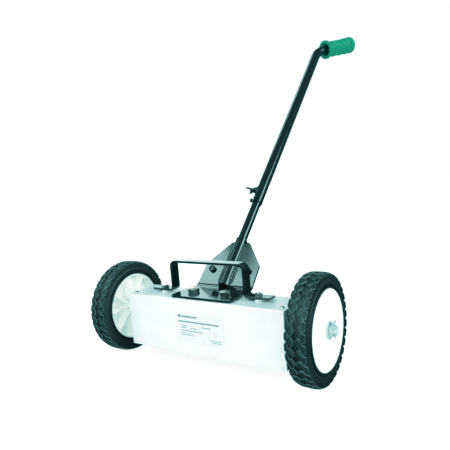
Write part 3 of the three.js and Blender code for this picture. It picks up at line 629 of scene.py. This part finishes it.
def build_bracket():
    rows = plate_rows()
    sides = normals([(y, z) for y, z, _, _ in rows])
    inner = SOCKET_R + CLEAR
    bm = bmesh.new()
    faces = {1: [], -1: []}
    for (y, z, half, _), n in zip(rows, sides):
        between = (inner + half) / 2
        across = (-half, -between, -inner, inner, between, half)
        for sign in (1, -1):
            k = sign * PLATE_T / 2
            faces[sign].append([bm.verts.new((x, y + n.x * k, z + n.y * k)) for x in across])
    edges = {}
    for i in range(len(rows) - 1):
        for j in range(5):
            if j == 2 and rows[i][3]:
                continue
            corners = [(i, j), (i, j + 1), (i + 1, j + 1), (i + 1, j)]
            for sign in (1, -1):
                bm.faces.new([faces[sign][a][b] for a, b in corners[::sign]])
            for a, b in zip(corners, corners[1:] + corners[:1]):
                key = tuple(sorted((a, b)))
                edges[key] = edges.get(key, 0) + 1
    for ((a, b), (c, d)), count in edges.items():
        if count == 1:
            bm.faces.new((faces[1][a][b], faces[1][c][d], faces[-1][c][d], faces[-1][a][b]))
    finish_mesh("bracket_plate", bm, BLACK, "frame", ["handle_bracket"], bevel=0.8)

    for name, sign, sink in (("front", 1, TUBE_OFF), ("back", -1, -PLATE_T - TUBE_OFF)):
        bm = bmesh.new()                          # rippled fillet welds along the socket

        def chord(height):
            return math.sqrt(SOCKET_R ** 2 - (height - sink) ** 2)

        section = [(chord(0) + 5.6, 0.1), (chord(0) + 3.4, 0.6), (chord(0) + 1.9, 1.5),
                   (chord(3) + 1.1, 3.0), (chord(4.8) + 0.5, 4.8), (chord(5.6) - 0.3, 5.6),
                   (chord(0) - 1.6, 1.0), (chord(0) - 1.6, -0.5), (chord(0) + 4.4, -0.5)]
        for side in (-1, 1):
            loops = []
            for k in range(WELD_STEPS):
                s = 3.2 + (TIP_S - 4.6) * k / (WELD_STEPS - 1)
                swell = 0.42 * abs(math.sin(math.pi * s / 3.3)) + 0.1 * math.sin(s * 0.9)
                ends = min(1.0, 6.0 * k / WELD_STEPS + 0.35,
                           6.0 * (WELD_STEPS - 1 - k) / WELD_STEPS + 0.35)
                loop = []
                for i, (x, h) in enumerate(section):
                    grow = swell * (1.0, 1.0, 0.9, 0.9, 0.9, 0, 0, 0, 0.3)[i]
                    reach = chord(0) + (x - chord(0)) * ends + grow * 0.7 if x > chord(0) else x
                    rise = (h + grow * 0.6) * ends if h > 0 else h
                    loop.append((side * reach, s, sign * rise + (0 if sign > 0 else -PLATE_T)))
                loops.append(loop)
            loft(bm, loops)
        finish_mesh(f"weld_{name}", bm, BLACK, "frame", sharp=70,
                    matrix=on_plate())


def build_bolts():
    seat = PLATE_Z + PLATE_T + CLEAR
    for name, side in SIDES:
        bm = bmesh.new()
        hex_body(bm, 18, 0, 6.6)
        revolve(bm, [(0, 6.0), (8.6, 6.0), (8.2, 6.9), (6.8, 7.4), (0, 7.6)], 48, closed=False)
        revolve(bm, [(0, -21.2), (5.2, -21.2), (5.9, -20.5), (5.9, 0.2), (0, 0.2)], 32, closed=False)
        # faces above z 6.3, the head's top, take the lit copy of the plating, the rest the darker copy:
        # painted light on top, painted shade on the sides
        for face in bm.faces:
            face.material_index = int(face.calc_center_median().z > 6.3)
        finish_mesh(f"big_bolt_{name}", bm, (BOLT_SIDE_SHADE, YELLOW_ZINC_LIT_TOP), "frame", [f"base_bolt_{name}"],
                    matrix=Matrix.Translation((side * BASE_BOLT_X, BASE_BOLT_Y, seat))
                    @ Matrix.Rotation(0.2 * side, 4, "Z"))
        place = on_plate(side * BOLT_X, BOLT_S)
        bm = bmesh.new()
        hex_body(bm, 12, 0.3, 5.3)
        revolve(bm, [(0, -15.7), (3.5, -15.7), (4, -15.2), (4, 0.5), (0, 0.5)], 28, closed=False)
        finish_mesh(f"small_bolt_{name}", bm, OXIDE, "frame", [f"upright_bolt_{name}"],
                    matrix=place @ Matrix.Rotation(0.5 * side, 4, "Z"))
        bm = bmesh.new()
        hex_body(bm, 12, -PLATE_T - 6.8, -PLATE_T - 0.3, 4.1, True, True)
        finish_mesh(f"small_nut_{name}", bm, OXIDE, "frame", [f"upright_nut_{name}"], matrix=place)


def pipe(bm, outer, inner, length, lip=0.5):
    revolve(bm, [(inner, 0), (outer - lip, 0), (outer, lip), (outer, length - lip),
                 (outer - lip, length), (inner, length)], 56)


def build_handle():
    bm = bmesh.new()
    pipe(bm, SOCKET_R, 9.5, SOCKET_RIM - SOCKET_LOW, 0.6)
    finish_mesh("socket_sleeve", bm, TUBE, "frame", ["handle_socket"], matrix=on_tube(SOCKET_LOW))
    bm = bmesh.new()
    pipe(bm, LOWER_R, 7.6, LOWER_HIGH - LOWER_LOW, 0.4)
    finish_mesh("inner_tube", bm, TUBE, "frame", ["lower_tube"], matrix=on_tube(LOWER_LOW))

    inward = (GRIP_DIR - TUBE_DIR * GRIP_DIR.dot(TUBE_DIR)).normalized()
    set_back = BEND_R * math.tan(GRIP_BEND / 2)
    centre = tube_point(CORNER_S - set_back) + inward * BEND_R
    stops = (UPPER_LOW, UPPER_LOW + 0.6, 480, CORNER_S - set_back - 3)
    points = [tube_point(s) for s in stops]
    tangents = [TUBE_DIR.copy() for _ in points]
    for k in range(17):
        a = GRIP_BEND * k / 16
        points.append(centre - inward * BEND_R * math.cos(a) + TUBE_DIR * BEND_R * math.sin(a))
        tangents.append(TUBE_DIR * math.cos(a) + inward * math.sin(a))
    points.append(tube_point(CORNER_S) + GRIP_DIR * UPPER_END)
    tangents.append(GRIP_DIR.copy())
    bm = bmesh.new()
    radii = [UPPER_R - 0.5] + [UPPER_R] * (len(points) - 1)
    sweep(bm, points, tangents, radii, 56, bore=UPPER_IN)
    finish_mesh("outer_tube", bm, TUBE, "upper_handle", ["upper_tube"])

    # the wing bolt's boss and the stop screw stand on the left of the tube
    bm = bmesh.new()
    revolve(bm, [(3.4, 10.6), (8.2, 10.6), (7.2, 12.0), (6.6, 13.4), (6.4, 19.2), (5.8, 19.8),
                 (3.4, 19.8)], 40)
    finish_mesh("wing_boss", bm, TUBE, "upper_handle", ["clamp_boss"], matrix=on_tube(WING_S) @ LEFTWARD)
    bm = bmesh.new()
    revolve(bm, [(0, 9.9), (2.5, 9.9), (2.5, 14.2), (4.0, 14.4), (4.4, 14.9), (4.4, 17.0), (3.8, 17.8),
                 (2.0, 18.0), (1.8, 16.4), (0, 16.4)], 32, closed=False)
    finish_mesh("stop_bolt", bm, OXIDE, "upper_handle", ["stop_screw"], matrix=on_tube(STOP_S) @ LEFTWARD)

    bm = bmesh.new()
    revolve(bm, [(0, 9.9), (3, 9.9), (3, 20.4), (4.4, 20.9), (5.0, 21.6), (5.0, 26.2), (4.3, 28.0),
                 (2.4, 28.5), (0, 28.6)], 32, closed=False)
    for sign in (-1, 1):
        edge = [(2.0, 20.9), (4.4, 21.2), (6.8, 25.4), (9.4, 29.4), (10.6, 33.4), (9.6, 35.8),
                (7.4, 35.0), (5.8, 32.0), (4.2, 28.4), (2.0, 27.2)]
        pts = fillet([(sign * x, z) for x, z in edge], [0] + [0.9] * 8 + [0], 3)
        prism(bm, pts, -1.3, 1.3, Matrix.Rotation(math.pi / 2, 4, "X"))
    finish_mesh("wing_screw", bm, OXIDE, "wing", ["wing_bolt"], bevel=0.5,
                matrix=on_tube(WING_S) @ LEFTWARD @ Matrix.Rotation(math.pi / 2, 4, "Z"))


COLLAR_END, ROUND_END = 8, 9                      # where the collar stops, and the round end's length
DIMPLE_Z, DIMPLE_TURN, DIMPLE_DEPTH = 79.0, 3.06, 3.2
DIMPLE_LONG, DIMPLE_WIDE = 2.6, 6.0


def grip_radius(z, a):
    """The grip's outline: a collar, a hand-filling body with finger ridges below, a round end."""
    u = max(0.0, min(1.0, (z - 7) / (GRIP_LEN - 15)))
    down, top = max(0.0, -math.sin(a)) ** 1.5, max(0.0, math.sin(a)) ** 1.5
    arch = math.sin(math.pi * u)
    body = 20.2 + 0.8 * math.sin(math.pi / 2 * u) ** 2 - 1.4 * arch * top - 0.5 * arch * abs(math.cos(a))
    body += 0.9 * down * math.cos(8 * math.pi * u) * (0.35 + 0.65 * arch)
    if z < COLLAR_END:
        k = max(0.0, min(1.0, (z - 4.4) / 3.6))
        k = k * k * (3 - 2 * k)
        collar = 23.9 - (0.9 if z < 0.3 else 0.25 if z < 1 else 0.0)
        body = collar * (1 - k) + body * k
    turned = math.remainder(a - DIMPLE_TURN, 2 * math.pi)
    dent = math.hypot((z - DIMPLE_Z) / DIMPLE_LONG, turned * 20 / DIMPLE_WIDE)
    body -= DIMPLE_DEPTH * max(0.0, 1.2 - dent * dent)
    if z > GRIP_LEN - ROUND_END:
        t = (z - GRIP_LEN + ROUND_END) / ROUND_END
        body *= math.sqrt(max(0.0, 1 - (t * 0.93) ** 2.4))
    return body


def build_grip():
    around = 60
    low = [0, 0.6, 1.8, 3.6, 4.8, 6.2, 8]
    middle = [8 + (GRIP_LEN - 17) * k / 44 for k in range(1, 45)]
    end = [GRIP_LEN - d for d in (7.4, 5.6, 4.0, 2.6, 1.4, 0.6, 0.15)]
    depth = UPPER_END - GRIP_START + 0.6
    mouth = ((11.4, depth), (11.4, 9.0), (13.2, 5.0), (15.6, 1.4), (16.6, 0.3), (17.4, 0.0))
    loops = [circle(r, z, around) for r, z in mouth]
    for z in low + middle + end:
        loops.append([(grip_radius(z, t) * math.cos(t), grip_radius(z, t) * math.sin(t), z)
                      for t in (2 * math.pi * i / around for i in range(around))])
    bm = bmesh.new()
    loft(bm, loops)
    finish_mesh("hand_grip", bm, GREEN, "upper_handle", ["grip"], sharp=40, matrix=on_grip(GRIP_START))


# ---- studio ---------------------------------------------------------------------------------------
# strengths of the lights, and the curve that leans greys to teal
WALL, STRIP, PANEL, SIDE = 1.4, 5.2, 5.0, 8.0
FRONT, FILL, AMBIENT, FLOOR_GLOW = 3.1, 0.35, 0.14, 0.90
RED_CURVE = ((0.0, 0.0), (0.05, 0.022), (0.13, 0.064), (0.3, 0.165), (0.6, 0.40), (0.83, 0.735), (1.0, 1.0))


class Sky:
    """The studio round the object, as a world shader that depends only on direction."""

    def __init__(self):
        world = bpy.data.worlds.new("studio")
        bpy.context.scene.world = world
        world.use_nodes = True
        self.tree = world.node_tree
        self.shade = self.tree.nodes["Background"]
        coord = self.tree.nodes.new("ShaderNodeTexCoord").outputs["Generated"]
        split = self.tree.nodes.new("ShaderNodeSeparateXYZ")
        self.tree.links.new(coord, split.inputs[0])
        self.coord = coord
        self.x, self.y, self.z = split.outputs

    def math(self, kind, a, b):
        n = self.tree.nodes.new("ShaderNodeMath")
        n.operation = kind
        for socket, v in zip(n.inputs, (a, b)):
            if isinstance(v, (int, float)):
                socket.default_value = v
            else:
                self.tree.links.new(v, socket)
        return n.outputs[0]

    def step(self, value, start, end):
        """0 at start, 1 at end, smooth between."""
        m = self.tree.nodes.new("ShaderNodeMapRange")
        m.interpolation_type = "SMOOTHSTEP"
        low, high = min(start, end), max(start, end)
        m.inputs["From Min"].default_value, m.inputs["From Max"].default_value = low, high
        m.inputs["To Min"].default_value = 0.0 if start < end else 1.0
        m.inputs["To Max"].default_value = 1.0 if start < end else 0.0
        self.tree.links.new(value, m.inputs["Value"])
        return m.outputs["Result"]

    def toward(self, direction):
        n = self.tree.nodes.new("ShaderNodeVectorMath")
        n.operation = "DOT_PRODUCT"
        self.tree.links.new(self.coord, n.inputs[0])
        n.inputs[1].default_value = Vector(direction).normalized()
        return n.outputs["Value"]

    def times(self, *values):
        out = values[0]
        for v in values[1:]:
            out = self.math("MULTIPLY", out, v)
        return out


def build_studio():
    sky = Sky()
    above = sky.math("MAXIMUM", sky.z, 0.001)
    across, ahead = sky.math("DIVIDE", sky.x, above), sky.math("DIVIDE", sky.y, above)
    # a white wall behind to the left
    edge = sky.math("ADD", sky.x, sky.math("MULTIPLY", sky.y, 0.5))
    wall = sky.times(sky.step(sky.toward((-0.70, 0.71, 0)), 0.15, 0.7), sky.step(sky.z, 0.5, 0.28),
                     sky.step(sky.z, -0.25, 0.0), sky.step(edge, 0.06, -0.06), WALL)
    # a long softbox overhead to the front left with a dark flag before its far edge, and a panel behind it
    off = sky.math("ABSOLUTE", sky.math("ADD", across, 0.62), 0.0)
    flag = sky.times(sky.step(off, 0.055, 0.015), sky.step(ahead, -0.235, -0.185))
    strip_box = sky.times(sky.step(across, -0.90, -0.82), sky.step(across, -0.46, -0.54),
                          sky.step(ahead, -0.13, -0.17), sky.step(ahead, -1.5, -1.1),
                          sky.step(sky.z, 0.02, 0.1), sky.math("SUBTRACT", 1.0, flag), STRIP)
    panel = sky.times(sky.step(across, -1.1, -1.0), sky.step(across, -0.67, -0.72),
                      sky.step(ahead, 0.374, 0.396), sky.step(ahead, 0.75, 0.6),
                      sky.step(sky.z, 0.02, 0.1), PANEL)
    # a softbox on the right and a broad soft light in front
    side_box = sky.times(sky.step(sky.toward((0.88, 0.16, 0.44)), 0.945, 0.98), SIDE)
    front = sky.times(sky.step(sky.toward((0.12, -0.56, 0.82)), 0.78, 0.95),
                      sky.step(sky.y, -0.25, -0.45), FRONT)
    fill = sky.times(sky.step(sky.toward((0.62, -0.78, 0.10)), 0.70, 0.97), FILL)
    ambient = sky.times(sky.step(sky.z, -0.1, 0.3), AMBIENT)
    total = 0.02
    for light in (wall, strip_box, panel, side_box, front, fill, ambient):
        total = sky.math("ADD", light, total)
    path = sky.tree.nodes.new("ShaderNodeLightPath").outputs["Is Camera Ray"]
    seen = sky.math("ADD", sky.times(total, sky.math("SUBTRACT", 1.0, path)), path)
    sky.tree.links.new(seen, sky.shade.inputs["Strength"])
    sky.shade.inputs["Color"].default_value = (1, 1, 1, 1)

    bm = bmesh.new()
    bmesh.ops.create_grid(bm, x_segments=1, y_segments=1, size=9.0)
    mesh = bpy.data.meshes.new("floor")
    bm.to_mesh(mesh)
    bm.free()
    n = Nodes("floor_paper")
    n.feed(n.mix(n.noise(3.0), (0.28, 0.285, 0.285), (0.31, 0.315, 0.315)), "Base Color")
    n.set(Roughness=0.85, Emission_Color=(1, 1, 1, 1), Emission_Strength=FLOOR_GLOW)
    mesh.materials.append(n.mat)
    floor = bpy.data.objects.new("floor", mesh)
    bpy.context.scene.collection.objects.link(floor)
    floor.visible_glossy = False


def build_camera():
    right, up = Vector((0.832631, 0.548147, -0.079129)), Vector((0.002005, 0.139891, 0.990165))
    ahead = Vector((-0.553825, 0.8246, -0.115379))
    cam = bpy.data.cameras.new("camera")
    cam.sensor_width, cam.lens = 36.0, 36.9709
    cam.clip_end = 60
    obj = bpy.data.objects.new("camera", cam)
    obj.matrix_world = basis(right, up, -ahead, Vector((0.480691, -0.648897, 0.342824)))
    bpy.context.scene.collection.objects.link(obj)
    bpy.context.scene.camera = obj
    view = bpy.context.scene.view_settings
    view.view_transform, view.look = "Standard", "None"
    view.use_curve_mapping = True
    curve = view.curve_mapping.curves[0]
    for x, y in RED_CURVE[1:-1]:
        curve.points.new(x, y)
    view.curve_mapping.update()


# ---- the object -----------------------------------------------------------------------------------
CAD_LOOKS = {"bottom_tray": STEEL, "magnet_carrier": BLACK,
             **{f"magnet_{i}": FERRITE for i in range(1, 7)},
             **{f"base_nut_{s}": ZINC for s, _ in SIDES}}

build_camera()
build_studio()
build_housing()
build_screws()
for side_name, side_sign in SIDES:
    build_wheel(side_name, side_sign)
    build_axle_gear(side_name, side_sign)
build_lift()
build_bracket()
build_bolts()
build_handle()
build_grip()
for node_name, look in CAD_LOOKS.items():
    NODES[node_name].data.materials.clear()
    NODES[node_name].data.materials.append(look)
